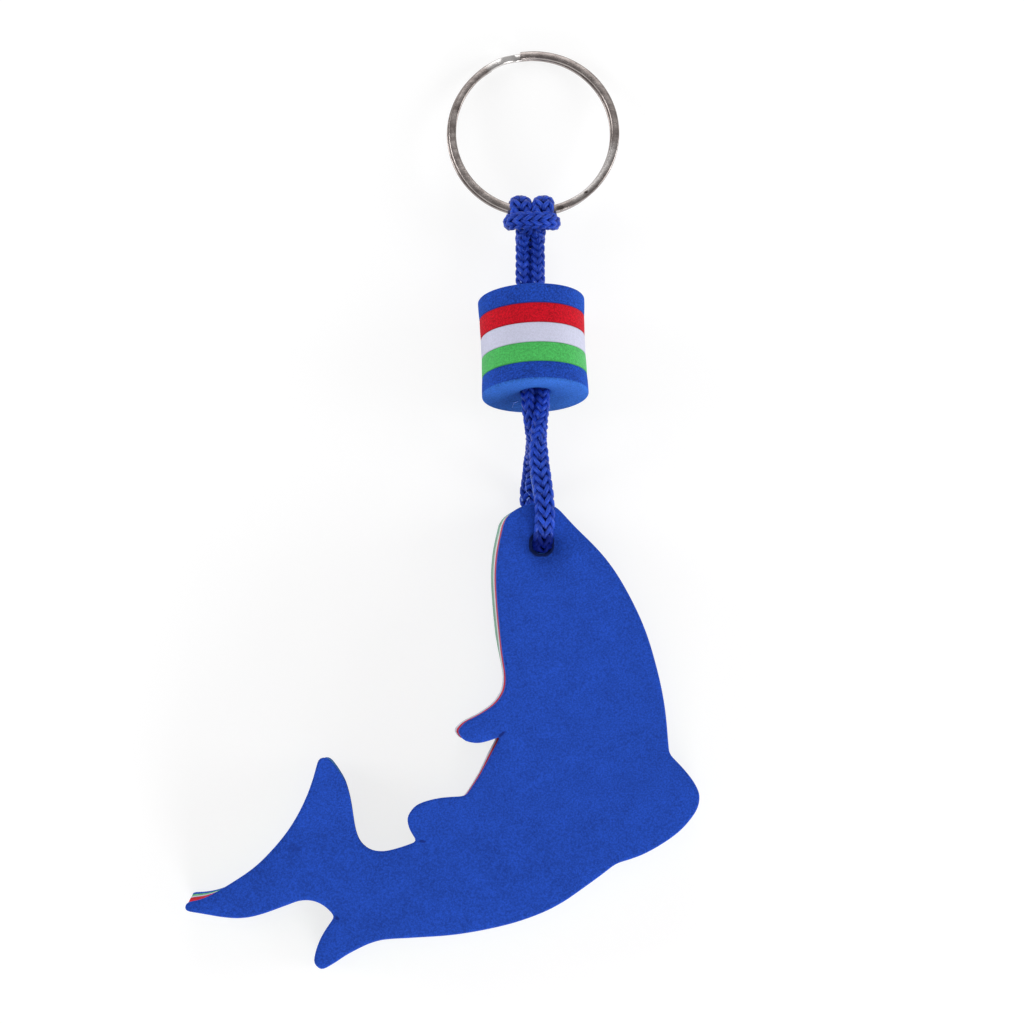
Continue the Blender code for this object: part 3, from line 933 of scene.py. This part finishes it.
backStrand = [
    ((0.0, 0.0, 4.6), (0, -1, 0), "hole"), ((-0.03, 0.2, 3.2), (0, -0.9, -0.4), "hole"),
    ((-0.15, 0.9, 2.0), (0, -0.5, -0.85), "free"), ((-0.5, 2.1, 1.3), (0, -0.1, -1), "free"),
    ((-1.0, 3.8, 1.1), (0, 0, -1), "free"), ((-1.6, 5.7, 1.1), (0, 0, -1), "free"),
    ((-2.0, 7.6, 1.15), (0, 0, -1), "free"), ((-1.95, 9.4, 1.55), (0, 0.3, -1), "free"),
    ((-1.65, 11.4, 3.1), (0, 0.6, -0.8), "free"), ((-1.45, 13.6, 5.75), (0.3, 0.6, -0.7), "free"),
    ((-1.3, 16.0, 8.9), (0.6, 0.5, -0.5), "pair"), ((-1.35, 18.4, 11.8), (0.9, 0.3, -0.3), "pair"),
    ((-1.65, 20.8, 13.85), (1, 0, 0), "pair"), ((-2.05, 23.2, 14.6), (1, 0, 0), "pair"),
]
# half width and half thickness of the yarn's middle line, and the spacing of the courses
strandShapes = {
    "pair": (1.00 * mm, 0.80 * mm, 1.43 * mm),
    "lobe": (1.42 * mm, 0.42 * mm, 1.45 * mm),
    "crown": (1.10 * mm, 0.46 * mm, 1.45 * mm),
    "turn": (0.72 * mm, 0.55 * mm, 1.45 * mm),
    "bar": (1.00 * mm, 0.55 * mm, 1.45 * mm),
    "free": (1.22 * mm, 0.50 * mm, 1.70 * mm),
    "hole": (1.20 * mm, 1.00 * mm, 1.60 * mm),
}


def cordStops():
    # each stop is a point, a flat direction, and the strand's shape there
    place = floatMatrix()
    across = Vector((1, 0, 0))
    half = floatBlock["length"] / 2
    stops = []

    def bore(side, along):
        point = place @ Vector((side * cordLook["spacing"] / 2, 0, along))
        stops.append((point, across, strandShapes["pair"]))

    def run(points, origin, side=1, drift=0.0):
        for (x, y, z), (flatX, flatY, flatZ), kind in points:
            sideways = drift * within(-y, 2, 4)
            point = origin + Vector((x * side, y, z)) * mm + Vector((sideways, 0, 0))
            flat = Vector((flatX * side, flatY, flatZ)).normalized()
            stops.append((point, flat, strandShapes[kind]))

    for along in (cordLook["jointGap"] / 2, half / 2, half):
        bore(-1, along)
    run(hitchHalf, layout["hitch"], 1, cordLook["pairDrift"])
    run(hitchHalf[-2::-1], layout["hitch"], -1, cordLook["pairDrift"])
    for along in (half, 0.0, -half):
        bore(1, along)
    run(frontStrand + backStrand, layout["hole"])
    for along in (-half, -half / 2, -cordLook["jointGap"] / 2):
        bore(-1, along)
    return stops


def densePath(stops, parts):
    # the smooth route with flat directions square to it and kept from flipping over
    points = [stop[0] for stop in stops]
    path = []
    for index in range(len(points) - 1):
        b, c = points[index], points[index + 1]
        a = points[index - 1] if index else 2 * b - c
        d = points[index + 2] if index + 2 < len(points) else 2 * c - b
        for part in range(parts):
            share = part / parts
            ease = share * share * (3 - 2 * share)
            first, second = stops[index], stops[index + 1]
            sign = 1 if first[1].dot(second[1]) >= 0 else -1
            flat = first[1].lerp(second[1] * sign, ease)
            shape = [low + (high - low) * ease for low, high in zip(first[2], second[2])]
            path.append([curvePoint(a, b, c, d, share), flat, shape])
    path.append([points[-1], stops[-1][1], list(stops[-1][2])])
    before = path[0][1]
    for index, entry in enumerate(path):
        along = path[min(index + 1, len(path) - 1)][0] - path[max(index - 1, 0)][0]
        along.normalize()
        flat = entry[1] - along * entry[1].dot(along)
        flat.normalize()
        if flat.dot(before) < 0:
            flat.negate()
        before = flat
        entry[1] = flat
        entry.append(along)
    return path


def cordLength(path):
    return sum((b[0] - a[0]).length for a, b in zip(path, path[1:]))


def coursePath(path, samples):
    # points spaced by courses of stitches instead of by length
    walked = [0.0]
    for near, far in zip(path, path[1:]):
        pitch = (near[2][2] + far[2][2]) / 2
        walked.append(walked[-1] + (far[0] - near[0]).length / pitch)
    count = round(walked[-1] * samples)
    made = []
    index = 0
    for step in range(count + 1):
        aim = walked[-1] * step / count
        while index < len(path) - 2 and walked[index + 1] < aim:
            index += 1
        share = (aim - walked[index]) / (walked[index + 1] - walked[index])
        near, far = path[index], path[index + 1]
        made.append({
            "point": near[0].lerp(far[0], share),
            "flat": near[1].lerp(far[1], share).normalized(),
            "side": near[3].lerp(far[3], share).normalized(),
            "wide": near[2][0] + (far[2][0] - near[2][0]) * share,
            "thin": near[2][1] + (far[2][1] - near[2][1]) * share,
        })
    for entry in made:
        entry["side"] = entry["side"].cross(entry["flat"]).normalized()
    return made


def spineObject(samples):
    mesh = bpy.data.meshes.new("cord_spine")
    edges = [(i, i + 1) for i in range(len(samples) - 1)]
    mesh.from_pydata([entry["point"] for entry in samples], edges, [])
    for name in ("flat", "side"):
        layer = mesh.attributes.new(name, "FLOAT_VECTOR", "POINT")
        layer.data.foreach_set("vector", [value for entry in samples for value in entry[name]])
    for name in ("wide", "thin", "twist"):
        layer = mesh.attributes.new(name, "FLOAT", "POINT")
        layer.data.foreach_set("value", [entry[name] for entry in samples])
    return addObject("cord_spine", mesh)


def knitTree(material):
    # a yarn that runs round the spine, a loop for each stitch
    tree = bpy.data.node_groups.new("knit_cord", "GeometryNodeTree")
    face = tree.interface
    face.new_socket("Geometry", in_out="INPUT", socket_type="NodeSocketGeometry")
    for name, value in knitInputs.items():
        kind = "NodeSocketInt" if isinstance(value, int) else "NodeSocketFloat"
        face.new_socket(name, in_out="INPUT", socket_type=kind)
    face.new_socket("Geometry", in_out="OUTPUT", socket_type="NodeSocketGeometry")
    nodes = Nodes(tree)
    given = nodes.add("NodeGroupInput")
    total = given["Stitches"] * given["Stitch Points"]
    yarnLine = nodes.add("GeometryNodeMeshLine", {"mode": "OFFSET"}, {"Count": total})["Mesh"]
    stitch = nodes.add("GeometryNodeInputIndex")["Index"] / given["Stitch Points"]
    turn = stitch * (2 * math.pi)
    course = stitch / given["Wales"]
    reach = nodes.maths("COSINE", turn) * given["Loop Height"]
    sampleAt = (course + reach) * given["Course Samples"]
    lower = nodes.maths("FLOOR", sampleAt)
    share = sampleAt - lower

    def sampled(name, dataKind):
        # an attribute of the spine, between its two nearest samples
        if name == "position":
            source = nodes.add("GeometryNodeInputPosition")["Position"]
        else:
            source = nodes.add("GeometryNodeInputNamedAttribute", {"data_type": dataKind}, {
                "Name": name})["Attribute"]
        ends = []
        for index in (lower, lower + 1.0):
            taken = nodes.add("GeometryNodeSampleIndex", {
                "data_type": dataKind, "domain": "POINT", "clamp": True}, {
                "Geometry": given["Geometry"], "Value": source, "Index": index})["Value"]
            ends.append(taken)
        if dataKind == "FLOAT":
            return ends[0] + (ends[1] - ends[0]) * share
        step = nodes.vectors("SUBTRACT", ends[1], ends[0])
        return nodes.vectors("ADD", ends[0], nodes.scaled(step, share))

    def stored(curve, name, value):
        return nodes.add("GeometryNodeStoreNamedAttribute", {
            "data_type": "FLOAT", "domain": "POINT"}, {
            "Geometry": curve, "Name": name, "Value": value})["Geometry"]

    middle, flat, side = (sampled(name, "FLOAT_VECTOR") for name in ("position", "flat", "side"))
    wide, thin, twist = (sampled(name, "FLOAT") for name in ("wide", "thin", "twist"))
    wander = nodes.add("ShaderNodeTexNoise", {"noise_dimensions": "1D"}, {
        "W": stitch * 0.9, "Scale": 1.0, "Detail": 1.0})["Fac"] - 0.5
    swayNow = given["Sway"] * (1.0 + wander * given["Uneven"] * 4.0)
    swing = nodes.maths("SINE", turn * 2.0) * swayNow
    around = (stitch + swing) * (2 * math.pi) / given["Wales"] + twist
    push = nodes.maths("COSINE", turn * 2.0) * given["Depth"] * (1.0 - wander * given["Uneven"] * 6.0)
    thinPart = nodes.maths("SINE", around) * (thin - push)
    widePart = nodes.maths("COSINE", around) * (wide - push)
    offset = nodes.vectors("ADD", nodes.scaled(flat, thinPart), nodes.scaled(side, widePart))
    spot = nodes.vectors("ADD", middle, offset)
    moved = nodes.add("GeometryNodeSetPosition", None, {"Geometry": yarnLine, "Position": spot})
    yarn = nodes.add("GeometryNodeMeshToCurve", None, {"Mesh": moved["Geometry"]})["Curve"]
    length = nodes.add("GeometryNodeSplineParameter")["Length"]
    yarn = stored(yarn, "yarnLength", length)
    yarn = stored(yarn, "tuck", nodes.maths("COSINE", turn * 2.0))
    profile = nodes.add("GeometryNodeCurvePrimitiveCircle", {"mode": "RADIUS"}, {
        "Resolution": given["Yarn Sides"], "Radius": given["Yarn Radius"]})["Curve"]
    spin = nodes.add("GeometryNodeSplineParameter")["Factor"] * (2 * math.pi)
    profile = stored(profile, "yarnSine", nodes.maths("SINE", spin))
    profile = stored(profile, "yarnCosine", nodes.maths("COSINE", spin))
    solid = nodes.add("GeometryNodeCurveToMesh", None, {
        "Curve": yarn, "Profile Curve": profile, "Fill Caps": True})["Mesh"]
    smooth = nodes.add("GeometryNodeSetShadeSmooth", None, {"Geometry": solid})["Geometry"]
    whole = nodes.add("GeometryNodeRealizeInstances", None, {"Geometry": smooth})["Geometry"]
    dressed = nodes.add("GeometryNodeSetMaterial", None, {
        "Geometry": whole, "Material": material})["Geometry"]
    nodes.add("NodeGroupOutput", None, {"Geometry": dressed})
    return tree


def runTree(host, tree, values):
    # the tree's result as a plain mesh object
    modifier = host.modifiers.new("make", "NODES")
    modifier.node_group = tree
    for item in tree.interface.items_tree:
        if item.item_type == "SOCKET" and item.in_out == "INPUT" and item.name in values:
            modifier[item.identifier] = values[item.name]
    bpy.context.view_layer.update()
    ready = host.evaluated_get(bpy.context.evaluated_depsgraph_get())
    mesh = bpy.data.meshes.new_from_object(ready)
    host.modifiers.remove(modifier)
    return mesh


yarnLook = {
    "dark": (0.002, 0.005, 0.11),
    "base": (0.008, 0.038, 0.43),
    "light": (0.035, 0.115, 0.74),
    "deep": (0.002, 0.006, 0.10),
    "roughness": 0.36,
    "specular": 0.4,
    "specularTint": (0.35, 0.5, 1.0, 1.0),
    "bump": 0.08 * mm,
    "alongScale": 260.0,     # how fine the filaments are along the yarn, a metre
    "patches": 700.0,
    "shade": (2.9 * mm, -0.2 * mm),   # painted shade from here down, where it lies in the fish's hole
    "filaments": 3.5,
    "hiddenShare": 0.9,      # how much painted shade darkens the yarn where it lies behind other yarn
}


def yarnMaterial():
    material, nodes, shader = newMaterial("blue_yarn")
    around = yarnLook["filaments"]
    place = nodes.place()
    strands = nodes.noise(nodes.join(
        nodes.attribute("yarnSine") * around, nodes.attribute("yarnCosine") * around,
        nodes.attribute("yarnLength") * yarnLook["alongScale"]), 1.0, 3.0, 0.6)
    lit = nodes.share(strands, 0.34, 0.66)
    wash = nodes.share(nodes.noise(place, yarnLook["patches"], 2.0), 0.35, 0.65)
    # painted shade where the yarn tucks behind other yarn in the knit
    tuckShade = nodes.share(nodes.attribute("tuck"), -0.75, 0.5)
    colour = mixColours(nodes, lit, yarnLook["base"], yarnLook["light"])
    colour = mixColours(nodes, (1.0 - wash) * 0.35, colour, yarnLook["dark"])
    colour = mixColours(nodes, tuckShade * yarnLook["hiddenShare"], colour, yarnLook["dark"])
    # where it goes down into the fish's hole it gets painted shade: a darker colour and a dark matt
    # shader mixed in
    high, low = (layout["hole"].y + step for step in yarnLook["shade"])
    shade = nodes.share(nodes.split(place)["Y"], high, low, "SMOOTHSTEP")
    colour = mixColours(nodes, shade * 0.92, colour, yarnLook["dark"])
    shadeMatt = nodes.add("ShaderNodeBsdfDiffuse", None, {"Color": (*yarnLook["deep"], 1.0)})["BSDF"]
    glossy = Wire(nodes.tree, shader.outputs["BSDF"])
    both = nodes.add("ShaderNodeMixShader", None, {0: shade * 0.85, 1: glossy, 2: shadeMatt})["Shader"]
    surface = nodes.tree.nodes["Material Output"].inputs["Surface"]
    nodes.tree.links.new(both.socket, surface)
    keep(shader, {
        "Specular IOR Level": yarnLook["specular"], "Specular Tint": yarnLook["specularTint"]})
    plug(nodes, shader, {
        "Base Color": colour, "Roughness": yarnLook["roughness"] + shade * 0.1,
        "Normal": nodes.bump(0.7, yarnLook["bump"], strands)})
    return material


# Fibres that stand out of the cord and bright gaps in its knit, in millimetres in the frame:
# material number, half thickness and points
strays = [
    (0, 0.045, [(14.47, 5.5, 19.5), (14.2, 3.9, 20.6), (14.35, 2.6, 21.2), (15.0, 1.95, 21.9)]),
    (0, 0.045, [(15.05, 5.5, 22.9), (15.35, 3.7, 23.5), (15.62, 1.9, 23.7)]),
    (0, 0.04, [(12.9, 18.2, 15.4), (12.2, 17.9, 15.0), (11.9, 17.1, 14.6)]),
    (1, 0.13, [(13.5, 1.5, 2.6), (13.65, 1.2, 2.65), (13.7, 0.95, 2.6)]),
    (1, 0.12, [(14.5, 1.15, 2.6), (14.7, 1.4, 2.65), (14.9, 1.6, 2.6)]),
    (1, 0.11, [(13.3, 42.5, 8.4), (13.42, 42.25, 8.5)]),
    (1, 0.1, [(13.3, 40.8, 8.95), (13.42, 40.55, 9.05)]),
    (1, 0.11, [(13.4, 39.2, 9.55), (13.5, 38.95, 9.7)]),
    (1, 0.08, [(15.8, 39.15, 9.65), (15.9, 38.95, 9.75)]),
]
strayColours = {"pale_fibre": (0.16, 0.28, 0.80), "bright_gap": (0.72, 0.80, 0.95)}


def makeStrays():
    curve = bpy.data.curves.new("stray_fibres", "CURVE")
    curve.dimensions = "3D"
    curve.bevel_depth = 1.0 * mm
    curve.bevel_resolution = 1
    for number, thick, points in strays:
        spline = curve.splines.new("POLY")
        spline.points.add(len(points) - 1)
        spline.material_index = number
        for point, place in zip(spline.points, points):
            point.co = (*(Vector(place) * mm), 1.0)
            point.radius = thick
    for name, colour in strayColours.items():
        material, nodes, shader = newMaterial(name)
        keep(shader, {"Base Color": (*colour, 1.0), "Roughness": 0.5})
        curve.materials.append(material)
    piece = addObject("stray_fibres", curve)
    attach(piece, "cord")


def makeCord():
    stops = cordStops()
    path = densePath(stops, 12)
    length = cordLength(path)
    perCourse = knitInputs["Course Samples"]
    samples = coursePath(path, perCourse)
    courses = (len(samples) - 1) / perCourse
    for index, entry in enumerate(samples):
        share = index / perCourse / courses
        entry["twist"] = cordLook["twist"] * within(share, *cordLook["twistShares"])
    spine = spineObject(samples)
    values = dict(knitInputs)
    values["Stitches"] = int(courses * knitInputs["Wales"])
    mesh = runTree(spine, knitTree(yarnMaterial()), values)
    bpy.data.objects.remove(spine)
    mesh.name = "knit_cord"
    piece = addObject("knit_cord", mesh)
    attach(piece, "cord")
    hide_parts("cord_loop")
    print("cord knitted,", round(length * 1000, 1), "mm,", len(mesh.polygons), "faces")


# Table, light and camera

stageLook = {
    "floorColour": 0.6,
    "seenColour": 0.27,       # to the camera the table is white, with a fainter shadow
    "seenGlow": 0.77,
    "floorSize": 3.0,
    "cameraHeight": 1.2,
    "frameWidth": 0.1786,
    "aim": (0.01188, -0.00094),
}


def makeStage():
    mesh = bpy.data.meshes.new("table_top")
    half = stageLook["floorSize"] / 2
    mesh.from_pydata([(-half, -half, 0), (half, -half, 0), (half, half, 0), (-half, half, 0)],
                     [], [(0, 1, 2, 3)])
    material, nodes, shader = newMaterial("white_table")
    light = nodes.add("ShaderNodeLightPath")
    seen = light["Is Camera Ray"] + light["Is Glossy Ray"] + light["Is Transmission Ray"]
    seen = nodes.maths("MINIMUM", seen, 1.0)
    shade = seen * (stageLook["seenColour"] - stageLook["floorColour"]) + stageLook["floorColour"]
    glow = nodes.grey(seen * stageLook["seenGlow"])
    keep(shader, {"Roughness": 0.9, "Specular IOR Level": 0.1, "Emission Strength": 1.0})
    plug(nodes, shader, {"Base Color": nodes.grey(shade), "Emission Color": glow})
    mesh.materials.append(material)
    floor = addObject("table_top", mesh)
    floor.location.z = -0.02 * mm


lamps = [
    # place, size and strength of each soft lamp
    ((-0.8, 0.2, 0.35), 0.5, 3.3),
    ((0.8, 0.05, 0.35), 0.5, 3.4),
    ((0.0, 0.75, 0.55), 0.5, 1.2),
    ((0.22, -0.9, 0.22), 0.6, 8.2),
]

skyLook = {
    "horizon": 0.66,
    "zenith": 0.27,
}


def makeLights():
    aim = Vector((0.01, 0.0, 0.01))
    for index, (place, size, power) in enumerate(lamps):
        data = bpy.data.lights.new(f"soft_lamp_{index}", "AREA")
        data.shape = "DISK"
        data.size = size
        data.energy = power
        lamp = addObject(data.name, data)
        lamp.location = place
        lamp.rotation_euler = (aim - Vector(place)).to_track_quat("-Z", "Y").to_euler()
    world = bpy.context.scene.world or bpy.data.worlds.new("room")
    bpy.context.scene.world = world
    world.use_nodes = True
    nodes = Nodes(world.node_tree)
    sky = world.node_tree.nodes["Background"]
    toSky = nodes.split(nodes.add("ShaderNodeTexCoord")["Generated"])["Z"]
    shade = skyLook["horizon"] + nodes.maths("ABSOLUTE", toSky) * (
        skyLook["zenith"] - skyLook["horizon"])
    plug(nodes, sky, {"Color": nodes.grey(shade)})
    bpy.context.scene.view_settings.view_transform = "Standard"


def makeCamera():
    data = bpy.data.cameras.new("overhead")
    data.sensor_fit = "HORIZONTAL"
    data.sensor_width = 36.0
    aimHeight = 0.007
    away = stageLook["cameraHeight"] - aimHeight
    data.lens = 36.0 * away / stageLook["frameWidth"]
    data.clip_start = 0.01
    camera = addObject("overhead", data)
    camera.location = (*stageLook["aim"], stageLook["cameraHeight"])
    bpy.context.scene.camera = camera


makeCamera()
makeStage()
makeLights()
print("camera, table and lights made")
makeCord()
makeStrays()
makeRing()
makeFoam()
